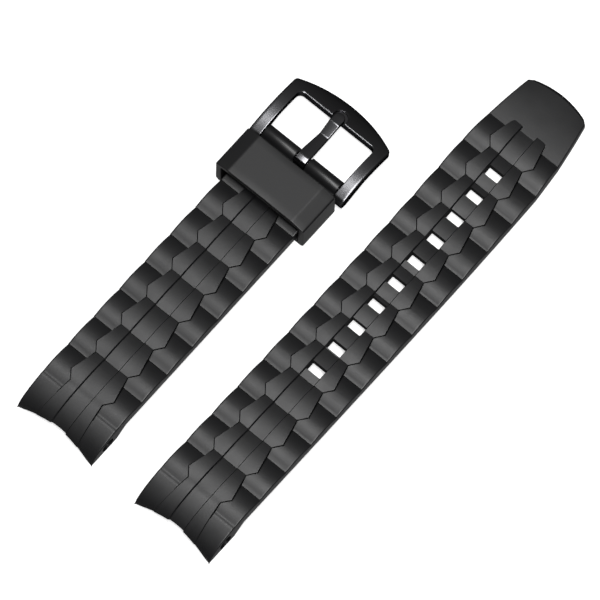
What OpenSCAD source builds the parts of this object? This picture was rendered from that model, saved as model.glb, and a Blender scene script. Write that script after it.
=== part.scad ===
// Two-piece moulded rubber watch strap: a buckle half and a tail half laid side by side,
// with a sliding keeper loop and a pin buckle on a spring bar.
// Each half is drawn flat, with x from the middle of its case end, y across and z up from
// the flat underside. Then it is laid down so that its drooping nose and its far end both
// touch the ground.

/* [Case end] */
// Width of both halves where they meet the watch case
lug_w = 20; // [18:0.5:24]
// Radius of the case wall that the hollow end fits
case_r = 19.2; // [17:0.2:30]
// Lean of that case wall from upright, in degrees
case_lean = 54; // [48:1:60]
// Length over which the top curves down to the end
nose_run = 13; // [12.6:0.1:14]
// How far the top comes down over that length
nose_drop = 5.4; // [5:0.1:6.5]
// Length from the end to the first full row of links
nose_len = 14.5; // [13.5:0.1:18]
// Radius of the cross bore for the case's spring bar
lug_bore_r = 1; // [0.8:0.05:1.15]
// Distance of that bore behind the middle of the end
lug_bore_x = 3.8; // [3.6:0.1:4.6]
// Height of that bore above the flat underside
lug_bore_z = -0.2; // [-0.5:0.1:0]
// Depth of the pocket round each mouth of the bore
bore_pocket = 0.6; // [0.3:0.1:1]

/* [Links] */
// Length of one moulded link
link_pitch = 7.93; // [6.5:0.01:10]
// Crest height of the outer columns of links
outer_h = 3.2; // [3:0.1:4]
// Radius of an outer link's crown
outer_crown = 10.5; // [9:0.5:16]
// How far the inner columns stand over the outer ones
inner_rise = 0.3; // [0.1:0.05:0.6]
// How far the centre column lies below the inner ones
centre_sink = 0.5; // [0.2:0.05:0.8]
// Radius of an inner or centre link's crown
inner_crown = 20; // [14:1:40]
// Place of a crown's crest along its link
crest_at = 0.46; // [0.4:0.01:0.55]
// How far an inner joint lies past the outer joint
joint_lag = 2.1; // [1:0.1:3]
// Width of the centre column
centre_w = 3.65; // [3:0.05:5]
// Width over the inner columns at their notches
notch_w = 8.4; // [7.6:0.1:9.4]
// Width over the inner columns at their widest
apex_w = 11.35; // [10:0.05:12.4]
// Width over the inner columns at the case end
nose_inner_w = 11.2; // [8.4:0.1:12]
// Length of the short flank from a notch to the widest place
flank_len = 1.9; // [1:0.1:3]

/* [Buckle half] */
// Rows of full links on the buckle half
buckle_rows = 6; // [3:1:9]
// How much narrower each side of the seat by the buckle is than the case end
seat_inset = 0.2; // [0.1:0.05:1.5]
// Thickness of that seat
seat_h = 2; // [1.6:0.1:2.2]
// Length of the last cut-off link before the seat
ledge_len = 1.5; // [0.5:0.1:3]
// Radius of the barrel round the buckle's spring bar
barrel_r = 1.7; // [1.4:0.05:2]
// How much narrower each side of the barrel is than the case end
barrel_inset = 0.1; // [0:0.05:1]
// Free space each side of the tongue in the barrel
slot_clear = 0.18; // [0.1:0.01:0.4]

/* [Tail half] */
// Rows of full links on the tail half
tail_rows = 12; // [10:1:14]
// How much narrower each side is than the case end along the holes
tail_inset = 0.15; // [0.05:0.05:1]
// How much narrower each side is where the plain tip pad starts
pad_inset = 0.7; // [0.4:0.05:1.6]
// Length of the plain tip pad
pad_len = 12.9; // [9:0.1:16]
// Thickness of the plain tip pad
pad_h = 2.6; // [2.4:0.05:2.6]
// How much narrower each side is at the corners of the tip
tip_inset = 2.3; // [2:0.1:3.6]
// Radius of the rounded end of the tip
tip_r = 20; // [14:1:40]
// Rounding of the tip's corners
tip_corner = 0.9; // [0.4:0.1:1]
// Number of holes for the tongue
hole_count = 10; // [5:1:10]
// Distance between neighbouring holes
hole_pitch = 6.25; // [5.5:0.01:6.3]
// Length of a hole along the strap
hole_len = 2.3; // [2:0.1:2.8]
// Rounding of a hole's corners
hole_corner = 0.3; // [0.15:0.05:0.6]
// Distance of the last hole from the tip
last_hole = 22.8; // [21:0.1:28]
// Width of the relief channel under the holes
channel_w = 6.6; // [5:0.2:9]
// Depth of that channel
channel_d = 1.1; // [0.6:0.1:1.2]

/* [Keeper] */
// Length of the keeper along the strap
keeper_len = 10.2; // [7:0.1:14]
// Wall of the keeper's sides
keeper_wall = 1.4; // [1.2:0.1:1.6]
// Thickness of the keeper's top
keeper_top = 1.4; // [1:0.1:1.8]
// Thickness of the keeper's bottom
keeper_bottom = 0.9; // [0.7:0.05:1.2]
// Free height inside the keeper
keeper_room = 6.8; // [6.2:0.1:7.6]
// Free space each side of the strap in the keeper
keeper_clear = 0.4; // [0.3:0.05:0.6]
// Distance from the last joint to the keeper's back
keeper_gap = 0.7; // [0.2:0.05:2]
// Free slide of the keeper on to the buckle's eyes
keeper_ahead = 0.6; // [0.4:0.05:1.5]
// Width of the sloping facet at each side of the top
facet_w = 3.2; // [2:0.1:5]
// How far that facet comes down
facet_drop = 0.9; // [0.4:0.1:1.2]

/* [Buckle] */
// Radius of the rounded back end of each arm
eye_r = 1.5; // [1.4:0.05:1.6]
// How far the middle of that rounding lies behind the spring bar
eye_back = 1.4; // [1.1:0.1:1.5]
// How far it lies below the spring bar
eye_drop = 0.2; // [0.1:0.05:0.3]
// Distance from the spring bar to where the web under each arm runs out
eye_run = 4.5; // [3.8:0.1:5.5]
// Free space between each arm and the barrel
arm_clear = 0.2; // [0.15:0.05:0.4]
// Width of each arm
arm_w = 2.6; // [2:0.1:3]
// Thickness of the bent frame
frame_t = 2; // [1.9:0.05:2.2]
// Height of the arms' top over the spring bar, at the bar and at the front edge
arm_top = 1.5; // [1.4:0.05:1.6]
// Reach from the spring bar to the front edge
frame_reach = 15.7; // [14:0.1:18]
// Width of the front bar at its middle
front_w = 4.75; // [4:0.05:5]
// Radius of the front edge
front_r = 28.4; // [26:0.2:60]
// Rounding of the frame's outer corners
frame_corner = 1; // [0.5:0.1:2]
// Rounding of the window's front corners
window_corner = 1.2; // [0.6:0.1:2]
// Height of the arch of the arms
arch = 1.2; // [0.8:0.1:1.3]
// Width of the shallow bevel along the window's front edge
bevel_w = 0.5; // [0.3:0.05:0.8]
// Depth of that bevel
bevel_d = 0.15; // [0.1:0.05:0.4]
// Depth of the notch that takes the tongue's tip
notch_d = 0.6; // [0.4:0.1:0.8]
// Distance from the window to the middle of the notch
notch_at = 0.95; // [0.6:0.05:1.1]
// Radius of the notch
notch_r = 1.65; // [1.6:0.05:1.9]

/* [Tongue] */
// Width of the tongue's loop on the spring bar
tongue_w = 2.8; // [2.2:0.1:3.2]
// Width of the tongue at its waist
waist_w = 2.3; // [1.8:0.05:2.4]
// Width of the tongue's round tip
tongue_tip_w = 2.6; // [2.3:0.1:2.6]
// Thickness of the tongue
tongue_t = 0.95; // [0.8:0.05:1.1]
// Outer radius of the tongue's loop
loop_r = 1.5; // [1.4:0.05:1.6]
// How far the middle of the tongue's round tip lies over the front bar
tip_rest = 0.2; // [0.1:0.05:0.4]
// Distance from the spring bar to the tongue's low bend
dip_at = 6.7; // [6:0.1:7.4]
// How far the low bend lies below the tip
dip_drop = 1.4; // [1.2:0.05:1.5]
// Distance from the upper bend to the front bar
rise_gap = 1.2; // [1:0.1:1.6]
// Free space between the tongue's tip and its notch
tip_clear = 0.08; // [0.05:0.01:0.2]

/* [Spring bar] */
// Outer radius of the tube
tube_r = 0.75; // [0.7:0.01:0.8]
// Wall of the tube
tube_wall = 0.2; // [0.15:0.01:0.22]
// Rim at each end that keeps the pin in
rim_len = 0.5; // [0.3:0.1:1]
// How far each tube end lies inside the barrel
tube_setback = 0.3; // [0.1:0.1:0.6]
// Radius of the pins' shanks
pin_r = 0.4; // [0.35:0.01:0.42]
// Length of the head of each pin inside the tube
head_len = 1.6; // [1:0.1:2.5]
// How far each pin reaches into its arm
pin_reach = 1.1; // [0.8:0.1:1.5]
// Running clearance of shafts in their holes
fit = 0.05; // [0.03:0.01:0.08]
// Radius of the coil's wire
wire_r = 0.1; // [0.08:0.01:0.12]
// Turns of the coil
coil_turns = 16; // [10:1:20]

/* [Layout] */
// Distance between the middles of the two halves
half_gap = 31.9; // [26:0.1:45]
// How far the tail half lies ahead of the buckle half
tail_ahead = -0.35; // [-2:0.05:2]

/* [Hidden] */
$fn = 96;

// Overshoot of cuts past the faces that they open
over = 1;

// Side view of the nose: its top meets the level at nose_top_x and ends upright at nose_tip_x
nose_tip_x = -1.3;
nose_top_x = nose_tip_x + nose_run;
nose_low = outer_h - nose_drop;
nose_groove = 0.35;
groove_riser = 0.12;
inner_h = outer_h + inner_rise;
centre_h = inner_h - centre_sink;

// The boss round the lug bore, and the slope behind it up to the flat underside
boss_len = 2.7;
boss_slope = 3;
boss_end = lug_bore_x + boss_len;
boss_root = boss_end + boss_slope;
pocket_wall = 0.7;
bore_pocket_r = lug_bore_r + pocket_wall;

// Places along the buckle half
outer_joint = nose_len - link_pitch;
inner_joint = outer_joint + joint_lag;
last_joint = nose_len + buckle_rows * link_pitch;
ledge_x = last_joint + ledge_len;
keeper_x = last_joint + keeper_gap;
eye_sweep = norm([eye_back, eye_drop]) + eye_r;
bar_x = keeper_x + keeper_len + keeper_ahead + eye_sweep;
bar_z = barrel_r;
seat_w = lug_w - 2 * seat_inset;
barrel_w = lug_w - 2 * barrel_inset;
slot_w = tongue_w + 2 * slot_clear;
slot_back = 0.5;

// Places along the tail half
pad_x = nose_len + tail_rows * link_pitch;
tail_len = pad_x + pad_len;
taper_x = pad_x - link_pitch;
tail_w = lug_w - 2 * tail_inset;
pad_w = lug_w - 2 * pad_inset;
tip_w = lug_w - 2 * tip_inset;
centre_run = 1.1;
centre_end = pad_x + centre_run;
centre_bite = 0.3;
first_hole = tail_len - last_hole - (hole_count - 1) * hole_pitch;
web_end = 4;

// Keeper, with its inside floor just under the strap
floor_gap = 0.1;
keeper_in_w = lug_w + 2 * keeper_clear;
keeper_out_w = keeper_in_w + 2 * keeper_wall;
keeper_low = -floor_gap - keeper_bottom;
keeper_high = keeper_room - floor_gap + keeper_top;
keeper_radii = [0.8, 0.8, 0.5, 2, 2, 0.5];
keeper_inner_radii = [0.4, 0.4, 0.6, 0.6];

// How steeply each half is laid so that nose and far end both touch the ground
ground_x = boss_end;
buckle_tilt = atan((keeper_low - nose_low) / (keeper_x + keeper_len - ground_x));
tail_tilt = atan(-nose_low / (tail_len - ground_x));
function depth_below_bore(tilt) =
    (lug_bore_z - nose_low) * cos(tilt) + (ground_x - lug_bore_x) * sin(tilt);
tail_shift = depth_below_bore(tail_tilt) - depth_below_bore(buckle_tilt);

// Buckle in its own view: u forward from the spring bar, v across, w up
frame_in = barrel_w / 2 + arm_clear;
frame_out = frame_in + arm_w;
window_u = frame_reach - front_w;
arch_r = frame_reach * frame_reach / 8 / arch + arch / 2;
arch_mid = [frame_reach / 2, arm_top + arch - arch_r];
function top_w(u) = arch_mid[1] + sqrt(arch_r * arch_r - pow(u - arch_mid[0], 2));
front_low = arch_mid[1] + sqrt(pow(arch_r - frame_t, 2) - pow(arch_mid[0], 2));
eye_mid = [-eye_back, -eye_drop];
frame_back = eye_mid[0] - eye_r - over;
bar_height = (bar_z - keeper_low) * cos(buckle_tilt)
    - (bar_x - keeper_x - keeper_len) * sin(buckle_tilt);
ground_clear = 0.05;
droop = asin((bar_height - ground_clear) / norm([frame_reach, front_low]))
    - atan2(-front_low, frame_reach) - buckle_tilt;

// Tongue, whose tip lies in the notch of the front bar
tip_u = window_u + tip_rest;
notch_u = window_u + notch_at;
notch_floor = top_w(notch_u) - notch_d;
tip_w_mid = notch_floor + tip_clear + tongue_t / 2;
rise_at = window_u - rise_gap;

// Spring bar along y, from its middle
tube_half = barrel_w / 2 - tube_setback;
tube_in_r = tube_r - tube_wall;
head_r = tube_in_r - fit;
head_y = tube_half - rim_len - fit;
pin_end = frame_in + pin_reach;
pin_end_room = 0.2;
pin_hole = pin_reach + pin_end_room;
coil_half = head_y - head_len - fit;
coil_r = head_r - wire_r - fit;
coil_steps = 8;
coil_sides = 6;

// Where the arcs of a mirrored outline stop short of its middle line, in degrees
arc_stop = 10;

function unit(v) = v / norm(v);

// A corner b between a and c, rounded to radius r with short straight steps
function rounded_corner(a, b, c, r, steps = 6) =
    r <= 0 ? [b] :
    let (
        p = unit(a - b),
        q = unit(c - b),
        half = acos(p * q) / 2,
        middle = b + unit(p + q) * r / sin(half),
        from = b + p * r / tan(half) - middle,
        to = b + q * r / tan(half) - middle
    )
    [for (i = [0:steps]) let (t = i / steps)
        middle + unit(from * (1 - t) + to * t) * r];

// A closed outline with a radius for each corner
function rounded_outline(corners, radii) =
    let (n = len(corners))
    [for (i = [0:n - 1])
        each rounded_corner(corners[(i + n - 1) % n], corners[i], corners[(i + 1) % n],
            radii[i])];

// Points along an arc, from one angle to another
function arc(middle, r, from, to, steps) =
    [for (i = [0:steps]) let (a = from + (to - from) * i / steps)
        middle + r * [cos(a), sin(a)]];

// Half an outline, given from left to right on the +y side, closed by its mirror image
function mirrored(half) =
    concat(half, [for (i = [len(half) - 1:-1:0]) [half[i][0], -half[i][1]]]);

// One link in side view, with a crown of true radius
module link_side(x, height, crown) {
    intersection() {
        translate([x + crest_at * link_pitch, height - crown]) circle(r = crown);
        translate([x, nose_low]) square([link_pitch, height - nose_low]);
    }
}

// The nose in side view: a quarter ellipse down to the end, and a groove before the first
// joint, a little deeper than the crown that starts there
module nose_side(height, joint, crown) {
    foot = joint - nose_groove;
    lift = acos((nose_top_x - foot) / nose_run);
    steps = 14;
    start = crest_at * link_pitch;
    valley = height - crown + sqrt(crown * crown - start * start) - groove_riser;
    curve = [for (i = [0:steps]) let (a = lift * i / steps)
        [nose_top_x - nose_run * cos(a), height - nose_drop + nose_drop * sin(a)]];
    polygon(concat([[nose_tip_x, nose_low - over]], curve,
        [[joint, valley], [joint, nose_low - over]]));
}

// A column of links in side view, from the nose on
module column_side(height, joint, crown, rows) {
    nose_side(height, joint, crown);
    for (k = [0:rows - 1])
        link_side(joint + k * link_pitch, height, crown);
}

// All that lies over the strap's underside, out to x, in side view
module over_underside(x) {
    polygon([[nose_tip_x - over, nose_low], [boss_end, nose_low], [boss_root, 0],
        [x, 0], [x, inner_h + over], [nose_tip_x - over, inner_h + over]]);
}

// Turns a side view into a solid of the given width about the middle
module across(width) {
    translate([0, width / 2, 0])
        rotate([90, 0, 0])
            linear_extrude(height = width) children();
}

// The zigzag outline of the inner columns, seen from above
module inner_outline(rows) {
    far = inner_joint + rows * link_pitch;
    side = [for (k = [0:rows - 1]) let (x = inner_joint + k * link_pitch)
        each [[x, notch_w / 2], [x + flank_len, apex_w / 2]]];
    polygon(mirrored(concat([[nose_tip_x - over, nose_inner_w / 2]], side,
        [[far, notch_w / 2]])));
}

// The moulded relief: outer columns, raised inner columns and the sunk centre column
module links(rows, x_end, centre_x) {
    difference() {
        union() {
            across(2 * lug_w)
                intersection() {
                    union() {
                        column_side(outer_h, outer_joint, outer_crown, rows + 1);
                        children();
                    }
                    over_underside(x_end);
                }
            intersection() {
                across(apex_w + 2 * over)
                    intersection() {
                        column_side(inner_h, inner_joint, inner_crown, rows + 1);
                        over_underside(x_end);
                    }
                translate([0, 0, nose_low - over])
                    linear_extrude(height = inner_h - nose_low + 2 * over)
                        inner_outline(rows + 1);
            }
        }
        across(centre_w)
            difference() {
                translate([nose_tip_x - over, nose_low])
                    square([centre_x - nose_tip_x + over, inner_h - nose_low + over]);
                column_side(centre_h, inner_joint, inner_crown, rows + 1);
            }
    }
}

// The watch case's wall, which leaves the end hollow both ways
module case_wall() {
    top = nose_top_x / nose_run;
    end_z = outer_h - nose_drop * (1 - sqrt(1 - top * top));
    translate([0, 0, end_z])
        rotate([0, -case_lean, 0])
            translate([-case_r, 0, 0])
                cylinder(r = case_r, h = 4 * lug_w, center = true);
}

// The cross bore for the case's spring bar, with a pocket at each mouth
module lug_bore() {
    translate([lug_bore_x, 0, lug_bore_z])
        rotate([90, 0, 0]) {
            cylinder(r = lug_bore_r, h = lug_w + 2 * over, center = true);
            for (side = [-1, 1])
                translate([0, 0, side * (lug_w / 2 - bore_pocket / 2 + over / 2)])
                    cylinder(r = bore_pocket_r, h = bore_pocket + over, center = true);
        }
}

// Lays a half down about its lug bore, which is the origin
module laid(tilt) {
    rotate([0, tilt, 0])
        translate([-lug_bore_x, 0, -lug_bore_z])
            children();
}

// The same for what hangs on the buckle's spring bar, turned down to rest on the ground
module on_bar(turn) {
    laid(buckle_tilt)
        translate([bar_x, 0, bar_z])
            rotate([0, turn, 0])
                children();
}

module buckle_half_strap() {
    outline = mirrored([[nose_tip_x - over, lug_w / 2], [0, lug_w / 2],
        [ledge_x, seat_w / 2], [bar_x, seat_w / 2]]);
    color("#2a2a2c")
        laid(buckle_tilt)
            difference() {
                union() {
                    intersection() {
                        links(buckle_rows, ledge_x, ledge_x + over);
                        translate([0, 0, nose_low - over])
                            linear_extrude(height = inner_h - nose_low + 2 * over)
                                polygon(outline);
                    }
                    across(seat_w)
                        translate([ledge_x - over, 0])
                            square([bar_x - ledge_x + over, seat_h]);
                    translate([bar_x, 0, bar_z])
                        rotate([90, 0, 0])
                            cylinder(r = barrel_r, h = barrel_w, center = true);
                }
                case_wall();
                lug_bore();
                translate([bar_x, 0, bar_z])
                    rotate([90, 0, 0])
                        cylinder(r = tube_r + fit, h = barrel_w + 2 * over, center = true);
                translate([bar_x - loop_r - slot_back, -slot_w / 2, -over])
                    cube([slot_back + loop_r + barrel_r + over, slot_w,
                        2 * barrel_r + 2 * over]);
            }
}

// One hole for the tongue, with rounded corners
module tongue_hole() {
    linear_extrude(height = inner_h + 2 * over) {
        square([hole_len, centre_w - 2 * hole_corner], center = true);
        square([hole_len - 2 * hole_corner, centre_w], center = true);
        for (sx = [-1, 1])
            for (sy = [-1, 1])
                translate([sx * (hole_len / 2 - hole_corner), sy * (centre_w / 2 - hole_corner)])
                    circle(r = hole_corner);
    }
}

// The relief channel under the row of holes, round at both ends
module hole_channel() {
    from = first_hole - web_end;
    to = tail_len - last_hole + web_end;
    translate([0, 0, -over]) {
        translate([from, -channel_w / 2, 0]) cube([to - from, channel_w, channel_d + over]);
        for (x = [from, to])
            translate([x, 0, 0]) cylinder(d = channel_w, h = channel_d + over);
    }
}

module tail_half_strap() {
    side = [[nose_tip_x - over, lug_w / 2], [0, lug_w / 2],
        [first_hole, tail_w / 2], [taper_x, tail_w / 2], [pad_x, pad_w / 2]];
    edge = asin(tip_w / 2 / tip_r);
    tip = arc([tail_len - tip_r, 0], tip_r, edge, edge / arc_stop, 6);
    outline = mirrored(concat(side, tip));
    corner = len(side);
    radii = [for (i = [0:len(outline) - 1])
        i == corner || i == len(outline) - 1 - corner ? tip_corner : 0];
    color("#2a2a2c")
        translate([tail_ahead, -half_gap, tail_shift])
            laid(tail_tilt)
                difference() {
                    intersection() {
                        links(tail_rows, tail_len + over, centre_end + centre_bite)
                            translate([pad_x, 0]) square([pad_len + over, pad_h]);
                        translate([0, 0, nose_low - over])
                            linear_extrude(height = inner_h - nose_low + 2 * over)
                                polygon(rounded_outline(outline, radii));
                    }
                    across(centre_w)
                        translate([centre_end, pad_h]) square([joint_lag + over, inner_h]);
                    case_wall();
                    lug_bore();
                    hole_channel();
                    for (i = [0:hole_count - 1])
                        translate([first_hole + i * hole_pitch, 0, -over])
                            tongue_hole();
                }
}

module keeper_loop() {
    side = keeper_out_w / 2;
    inside = keeper_in_w / 2;
    outer = [[-side, keeper_low], [side, keeper_low], [side, keeper_high - facet_drop],
        [side - facet_w, keeper_high], [facet_w - side, keeper_high],
        [-side, keeper_high - facet_drop]];
    inner_low = keeper_low + keeper_bottom;
    inner_high = keeper_high - keeper_top;
    inner = [[-inside, inner_low], [inside, inner_low], [inside, inner_high],
        [-inside, inner_high]];
    color("#303033")
        laid(buckle_tilt)
            translate([keeper_x, 0, 0])
                rotate([90, 0, 90])
                    linear_extrude(height = keeper_len)
                        difference() {
                            polygon(rounded_outline(outer, keeper_radii));
                            polygon(rounded_outline(inner, keeper_inner_radii));
                        }
}

// The frame seen from above: straight arms and a bowed front with rounded corners
module frame_plan() {
    bow = frame_reach - front_r;
    corner_v = frame_out - frame_corner;
    corner_reach = front_r - frame_corner;
    corner_u = bow + sqrt(corner_reach * corner_reach - corner_v * corner_v);
    edge = asin(corner_v / corner_reach);
    polygon(mirrored(concat([[frame_back, frame_out]],
        arc([corner_u, corner_v], frame_corner, 90, edge, 5),
        arc([bow, 0], front_r, edge * 0.9, edge / arc_stop, 6))));
}

// The window seen from above, open at the back between the arms
module window_plan() {
    back = frame_back - over;
    polygon(rounded_outline([[back, -frame_in], [window_u, -frame_in], [window_u, frame_in],
        [back, frame_in]], [0, window_corner, window_corner, 0]));
}

// The arched strip of the frame in side view
module strip_side() {
    intersection() {
        translate(arch_mid)
            difference() {
                circle(r = arch_r, $fn = 256);
                circle(r = arch_r - frame_t, $fn = 256);
            }
        translate([-eye_back, -arch_r])
            square([frame_reach + eye_back + over, 2 * arch_r]);
    }
}

// The web under each arm in side view: it runs from the rounded back end out to the strip,
// and dips a little into both
module web_side() {
    bite = 0.03;
    foot = [eye_run, top_w(eye_run) - frame_t + bite];
    span = foot - eye_mid;
    lean = atan2(span[1], span[0]) - acos((eye_r - bite) / norm(span));
    polygon([eye_mid + (eye_r - bite) * [cos(lean), sin(lean)], foot,
        foot + [0, frame_t / 2], [0, arm_top - frame_t / 4], eye_mid + [0, eye_r / 2]]);
}

module buckle_frame() {
    wide = 2 * frame_out + 2 * over;
    bevel_from = top_w(window_u) - bevel_d;
    bevel_to = top_w(window_u + bevel_w);
    slope = (bevel_to - bevel_from) / bevel_w;
    color("#26262a")
        on_bar(droop)
            difference() {
                intersection() {
                    translate([0, 0, -arch_r])
                        linear_extrude(height = 2 * arch_r) frame_plan();
                    across(wide)
                        translate(arch_mid) circle(r = arch_r, $fn = 256);
                    union() {
                        across(wide) strip_side();
                        across(wide) translate(eye_mid) circle(r = eye_r, $fn = 64);
                        across(wide) web_side();
                    }
                }
                translate([0, 0, -arch_r])
                    linear_extrude(height = 2 * arch_r) window_plan();
                across(2 * (frame_in - window_corner))
                    polygon([[window_u - over, bevel_from - over * slope],
                        [window_u + bevel_w + over, bevel_to + over * slope],
                        [window_u + bevel_w + over, bevel_to + 2 * over],
                        [window_u - over, bevel_to + 2 * over]]);
                translate([notch_u, 0, notch_floor]) {
                    cylinder(r = notch_r, h = 2 * notch_d);
                    translate([-2 * notch_r, -notch_r, 0])
                        cube([2 * notch_r, 2 * notch_r, 2 * notch_d]);
                }
                for (side = [-1, 1])
                    translate([0, side * (frame_in + (pin_hole - over) / 2), 0])
                        rotate([90, 0, 0])
                            cylinder(r = pin_r + fit, h = pin_hole + over, center = true);
            }
}

// The tongue seen from above: shank, waist and round tip
module tongue_plan() {
    polygon(mirrored(concat([[0, tongue_w / 2], [loop_r, tongue_w / 2],
        [dip_at, waist_w / 2], [rise_at, tongue_tip_w / 2]],
        arc([tip_u, 0], tongue_tip_w / 2, 90, arc_stop, 6))));
}

// The shank in side view: it falls to a bend, rises to a second one and ends level
module shank_side() {
    middle = [[0, loop_r - tongue_t / 2], [dip_at, tip_w_mid - dip_drop],
        [rise_at, tip_w_mid], [tip_u + tongue_tip_w, tip_w_mid]];
    half = [0, tongue_t / 2];
    polygon(concat([for (p = middle) p + half],
        [for (i = [len(middle) - 1:-1:0]) middle[i] - half]));
}

module buckle_tongue() {
    color("#3a3a3e")
        on_bar(droop)
            difference() {
                union() {
                    rotate([90, 0, 0]) cylinder(r = loop_r, h = tongue_w, center = true);
                    intersection() {
                        translate([0, 0, -2 * loop_r])
                            linear_extrude(height = 4 * loop_r) tongue_plan();
                        across(2 * tongue_w) shank_side();
                    }
                }
                rotate([90, 0, 0])
                    cylinder(r = tube_r + fit, h = tongue_w + 2 * over, center = true);
            }
}

module spring_bar_tube() {
    color("#8c8f94")
        on_bar(0)
            rotate([90, 0, 0])
                difference() {
                    cylinder(r = tube_r, h = 2 * tube_half, center = true);
                    cylinder(r = tube_in_r, h = 2 * (tube_half - rim_len), center = true);
                    cylinder(r = pin_r + fit, h = 2 * (tube_half + over), center = true);
                }
}

// A pin: a head inside the tube and a thin shank out to the blind hole in its arm
module spring_bar_pin(side) {
    color("#a4a7ab")
        on_bar(0)
            rotate([-90 * side, 0, 0]) {
                translate([0, 0, head_y - head_len]) cylinder(r = head_r, h = head_len);
                translate([0, 0, head_y - over]) cylinder(r = pin_r, h = pin_end - head_y + over);
            }
}

module spring_bar_pin_left() {
    spring_bar_pin(1);
}

module spring_bar_pin_right() {
    spring_bar_pin(-1);
}

// The coil that pushes the pins apart: one tube of wire swept along a helix about y
module spring_bar_coil() {
    sides = coil_sides;
    rings = coil_steps * coil_turns;
    rise = 2 * (coil_half - wire_r) / rings;
    slope = atan2(rise * coil_steps, 2 * PI * coil_r);
    points = [for (i = [0:rings]) let (
            turn = i * 360 / coil_steps,
            out = [cos(turn), 0, sin(turn)],
            up = [sin(turn) * sin(slope), cos(slope), -cos(turn) * sin(slope)],
            hub = [coil_r * cos(turn), i * rise - coil_half + wire_r, coil_r * sin(turn)]
        )
        for (j = [0:sides - 1]) let (a = j * 360 / sides)
            hub + wire_r * (out * cos(a) + up * sin(a))];
    faces = concat(
        [[for (j = [0:sides - 1]) j]],
        [for (i = [0:rings - 1]) for (j = [0:sides - 1]) let (
                a = i * sides + j,
                b = i * sides + (j + 1) % sides)
            each [[a, a + sides, b], [b, a + sides, b + sides]]],
        [[for (j = [sides - 1:-1:0]) rings * sides + j]]);
    color("#b4b6b9")
        on_bar(0)
            polyhedron(points = points, faces = faces);
}

echo(buckle_tilt = buckle_tilt, tail_tilt = tail_tilt, tail_shift = tail_shift, droop = droop);
echo(bar = [bar_x - lug_bore_x, bar_z - lug_bore_z], tail_len = tail_len, first_hole = first_hole);
echo(coil_gap = 2 * (coil_half - wire_r) / coil_turns - 2 * wire_r);

buckle_half_strap();
tail_half_strap();
keeper_loop();
buckle_frame();
buckle_tongue();
spring_bar_tube();
spring_bar_pin_left();
spring_bar_pin_right();
spring_bar_coil();
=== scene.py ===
import math
import bmesh
import bpy
import numpy as np
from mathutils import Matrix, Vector


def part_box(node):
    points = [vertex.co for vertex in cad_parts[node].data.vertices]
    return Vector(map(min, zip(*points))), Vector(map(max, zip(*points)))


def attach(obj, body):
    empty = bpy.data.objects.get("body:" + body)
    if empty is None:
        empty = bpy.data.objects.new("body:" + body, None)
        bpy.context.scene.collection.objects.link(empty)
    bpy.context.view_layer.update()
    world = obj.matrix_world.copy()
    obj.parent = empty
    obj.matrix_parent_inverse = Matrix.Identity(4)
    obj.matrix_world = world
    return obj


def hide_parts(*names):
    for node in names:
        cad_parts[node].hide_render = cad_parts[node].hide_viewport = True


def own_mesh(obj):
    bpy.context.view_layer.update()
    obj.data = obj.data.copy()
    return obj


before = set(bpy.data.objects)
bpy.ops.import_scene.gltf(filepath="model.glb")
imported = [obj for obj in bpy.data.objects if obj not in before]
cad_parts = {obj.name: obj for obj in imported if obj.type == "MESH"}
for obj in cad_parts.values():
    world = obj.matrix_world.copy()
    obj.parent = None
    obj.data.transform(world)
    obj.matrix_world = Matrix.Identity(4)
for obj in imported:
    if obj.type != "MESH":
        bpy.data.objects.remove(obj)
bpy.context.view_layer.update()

MM = 0.001

# The camera stands far off with a long lens, so the picture has almost no perspective.
# It looks down on the strap from the side of its case ends, nearly from above.
camera_azimuth = math.radians(-49.46)
camera_height = math.radians(70)
camera_distance = 3.0
camera_target = Vector((48.75, -19.78, 2.1)) * MM
away = Vector((math.sin(camera_azimuth) * math.cos(camera_height),
               -math.cos(camera_azimuth) * math.cos(camera_height),
               math.sin(camera_height)))
lens = bpy.data.cameras.new("camera")
lens.lens = 880.8
lens.sensor_width = 36
lens.clip_end = 10
camera = bpy.data.objects.new("camera", lens)
camera.location = camera_target + away * camera_distance
camera.rotation_euler = away.to_track_quat("Z", "Y").to_euler()
bpy.context.scene.collection.objects.link(camera)
bpy.context.scene.camera = camera
bpy.context.scene.view_settings.view_transform = "Standard"

# The two rubber halves: each is one moulding of black fluoroelastomer, pressed hot in a
# spark-eroded steel mould. Both have a case end, or nose, cut to a round case wall, then
# rows of crowned links in outer, inner and centre columns.
def linear(colour):
    """An sRGB hex colour as linear red, green, blue and alpha."""
    parts = np.array([int(colour[i:i + 2], 16) for i in (1, 3, 5)]) / 255
    low = parts / 12.92
    high = ((parts + 0.055) / 1.055) ** 2.4
    return [float(v) for v in np.where(parts <= 0.04045, low, high)] + [1.0]


def add_node(material, kind, settings={}, links={}):
    """Adds one shader node with its settings, which are input values or properties by name,
    and its links, which give for an input, by name or number, the node and the output that
    feed it."""
    node = material.node_tree.nodes.new(kind)
    for name, value in settings.items():
        if name in node.inputs:
            node.inputs[name].default_value = value
        else:
            setattr(node, name, value)
    for name, (source, output) in links.items():
        material.node_tree.links.new(source.outputs[output], node.inputs[name])
    return node


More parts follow.
